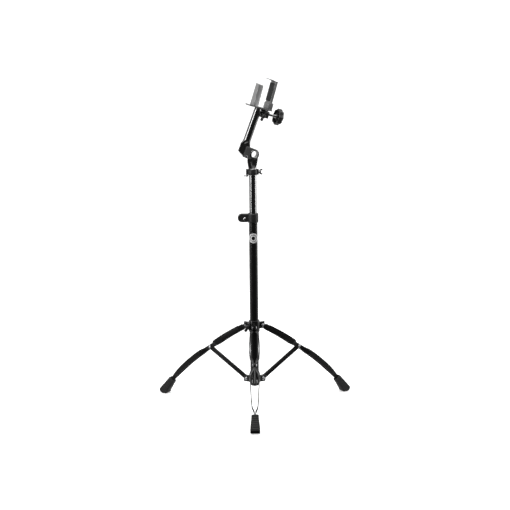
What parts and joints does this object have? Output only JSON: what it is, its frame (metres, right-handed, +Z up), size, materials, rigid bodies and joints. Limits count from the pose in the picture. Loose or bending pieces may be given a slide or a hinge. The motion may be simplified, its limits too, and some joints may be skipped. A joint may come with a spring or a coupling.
{
  "type": "bongo stand",
  "caption": "Folding tripod stand for a pair of bongos: telescoping mast, memory lock, hollow-pivot tilter and a screw clamp with padded jaws for the drums' centre block.",
  "frame": {"origin": "on the floor, in the middle of the footprint box of the open stand", "axes": "+Z up along the mast, front leg towards -Y, height clamp's lug towards -X"},
  "size_m": [0.5818, 0.5038, 0.9819],
  "materials": {
    "gloss_black": "gloss black powder coat",
    "black_nickel": "polished black nickel",
    "chrome": "bright chrome",
    "zinc": "bright zinc",
    "black_plastic": "moulded black nylon",
    "rubber": "black rubber",
    "nylon": "black nylon",
    "grey_steel": "satin grey steel",
    "badge_white": "white enamel"
  },
  "bodies": {
    "base": {"lower_tube": "gloss_black", "tube_end_plug": "rubber", "lower_hub": "gloss_black", "hub_rivet_front": "zinc", "hub_rivet_right": "zinc", "hub_rivet_left": "zinc", "badge": "badge_white", "height_clamp_body": "black_plastic", "height_clamp_bush": "nylon", "height_clamp_bolt": "chrome"},
    "clamp_nut": {"height_clamp_wing_nut": "black_plastic"},
    "collar": {"leg_collar": "gloss_black", "collar_bush": "nylon", "collar_rivet_front": "zinc", "collar_rivet_right": "zinc", "collar_rivet_left": "zinc"},
    "collar_bolt": {"collar_wing_bolt": "black_plastic"},
    "mast_slider": {"guide_bush": "nylon"},
    "mast": {"upper_tube": "black_nickel"},
    "memory_lock": {"memory_lock_ring": "black_plastic", "memory_lock_key": "chrome"},
    "memory_lock_bolt": {"memory_lock_wing_bolt": "black_nickel"},
    "arm": {"friction_washer_near": "nylon", "friction_washer_far": "nylon", "tilt_cheek_near": "gloss_black", "tilt_cheek_far": "gloss_black", "pivot_sleeve": "black_nickel", "tilt_lock_bolt": "zinc", "tilt_lock_nut": "zinc", "arm_tube": "black_nickel", "clamp_base_plate": "grey_steel", "fixed_jaw": "grey_steel", "fixed_jaw_pad": "rubber", "spindle_nut_block": "gloss_black"},
    "jaw": {"moving_jaw": "grey_steel", "moving_jaw_cover": "rubber", "spindle_carriage": "black_plastic"},
    "jaw_screw": {"jaw_spindle": "chrome", "jaw_knob": "black_plastic"},
    "lock_bolt": {"spindle_lock_bolt": "black_plastic"},
    "brace_front": {"brace_front": "gloss_black", "knee_rivet_front": "zinc"},
    "leg_front": {"leg_front_strip_a": "gloss_black", "leg_front_strip_b": "gloss_black", "foot_front": "rubber"},
    "brace_right": {"brace_right": "gloss_black", "knee_rivet_right": "zinc"},
    "leg_right": {"leg_right_strip_a": "gloss_black", "leg_right_strip_b": "gloss_black", "foot_right": "rubber"},
    "brace_left": {"brace_left": "gloss_black", "knee_rivet_left": "zinc"},
    "leg_left": {"leg_left_strip_a": "gloss_black", "leg_left_strip_b": "gloss_black", "foot_left": "rubber"}
  },
  "joints": [
    {"name": "fold", "type": "hinge", "parent": "base", "child": "brace_front", "pos_m": [0, 0.0496, 0.08], "axis": [-1, 0, 0], "range_deg": [0, 47]},
    {"name": "leg_front_knee", "type": "hinge", "parent": "brace_front", "child": "leg_front", "pos_m": [0, -0.0762, 0.1617], "axis": [1, 0, 0], "range_deg": [0, 94]},
    {"name": "brace_right_fold", "type": "hinge", "parent": "base", "child": "brace_right", "pos_m": [0.02252, 0.0886, 0.08], "axis": [0.5, -0.866, 0], "range_deg": [0, 47]},
    {"name": "leg_right_knee", "type": "hinge", "parent": "brace_right", "child": "leg_right", "pos_m": [0.13146, 0.1515, 0.1617], "axis": [-0.5, 0.866, 0], "range_deg": [0, 94]},
    {"name": "brace_left_fold", "type": "hinge", "parent": "base", "child": "brace_left", "pos_m": [-0.02252, 0.0886, 0.08], "axis": [0.5, 0.866, 0], "range_deg": [0, 47]},
    {"name": "leg_left_knee", "type": "hinge", "parent": "brace_left", "child": "leg_left", "pos_m": [-0.13146, 0.1515, 0.1617], "axis": [-0.5, -0.866, 0], "range_deg": [0, 94]},
    {"name": "collar_pivot", "type": "hinge", "parent": "leg_front", "child": "collar", "pos_m": [0, 0.0496, 0.24339], "axis": [-1, 0, 0], "range_deg": [0, 47]},
    {"name": "collar_bolt_turn", "type": "hinge", "parent": "collar", "child": "collar_bolt", "pos_m": [-0.01767, 0.0654, 0.24339], "axis": [-0.866, -0.5, 0], "continuous": true},
    {"name": "height_clamp_nut_turn", "type": "hinge", "parent": "base", "child": "clamp_nut", "pos_m": [-0.0245, 0.0829, 0.5685], "axis": [0, 1, 0], "continuous": true},
    {"name": "height", "type": "slide", "parent": "base", "child": "mast_slider", "axis": [0, 0, 1], "range_m": [-0.08, 0.22]},
    {"name": "mast_swivel", "type": "hinge", "parent": "mast_slider", "child": "mast", "pos_m": [0, 0.0756, 0.6], "axis": [0, 0, 1], "continuous": true},
    {"name": "memory_lock_slide", "type": "slide", "parent": "mast", "child": "memory_lock", "axis": [0, 0, 1], "range_m": [-0.026, 0]},
    {"name": "memory_lock_bolt_turn", "type": "hinge", "parent": "memory_lock", "child": "memory_lock_bolt", "pos_m": [0.01796, 0.07685, 0.7079], "axis": [0.9976, 0.0698, 0], "continuous": true},
    {"name": "tilt", "type": "hinge", "parent": "mast", "child": "arm", "pos_m": [0.00363, 0.07729, 0.7604], "axis": [-0.4226, 0.9063, 0], "range_deg": [-20, 95]},
    {"name": "jaw_slide", "type": "slide", "parent": "arm", "child": "jaw", "axis": [-0.8634, -0.4026, 0.304], "range_m": [-0.003, 0.005]},
    {"name": "knob_turn", "type": "hinge", "parent": "jaw", "child": "jaw_screw", "pos_m": [0.07784, 0.11189, 0.86349], "axis": [-0.8634, -0.4026, 0.304], "range_deg": [-270, 450]},
    {"name": "spindle_lock_bolt_turn", "type": "hinge", "parent": "arm", "child": "lock_bolt", "pos_m": [0.03249, 0.07773, 0.87365], "axis": [0.4226, -0.9063, 0], "continuous": true}
  ],
  "couplings": [
    {"joint": "leg_front_knee", "follows": "fold", "ratio": 2},
    {"joint": "brace_right_fold", "follows": "fold", "ratio": 1},
    {"joint": "leg_right_knee", "follows": "fold", "ratio": 2},
    {"joint": "brace_left_fold", "follows": "fold", "ratio": 1},
    {"joint": "leg_left_knee", "follows": "fold", "ratio": 2},
    {"joint": "collar_pivot", "follows": "fold", "ratio": 1},
    {"joint": "knob_turn", "follows": "jaw_slide", "rad_per_m": 1570.8}
  ]
}
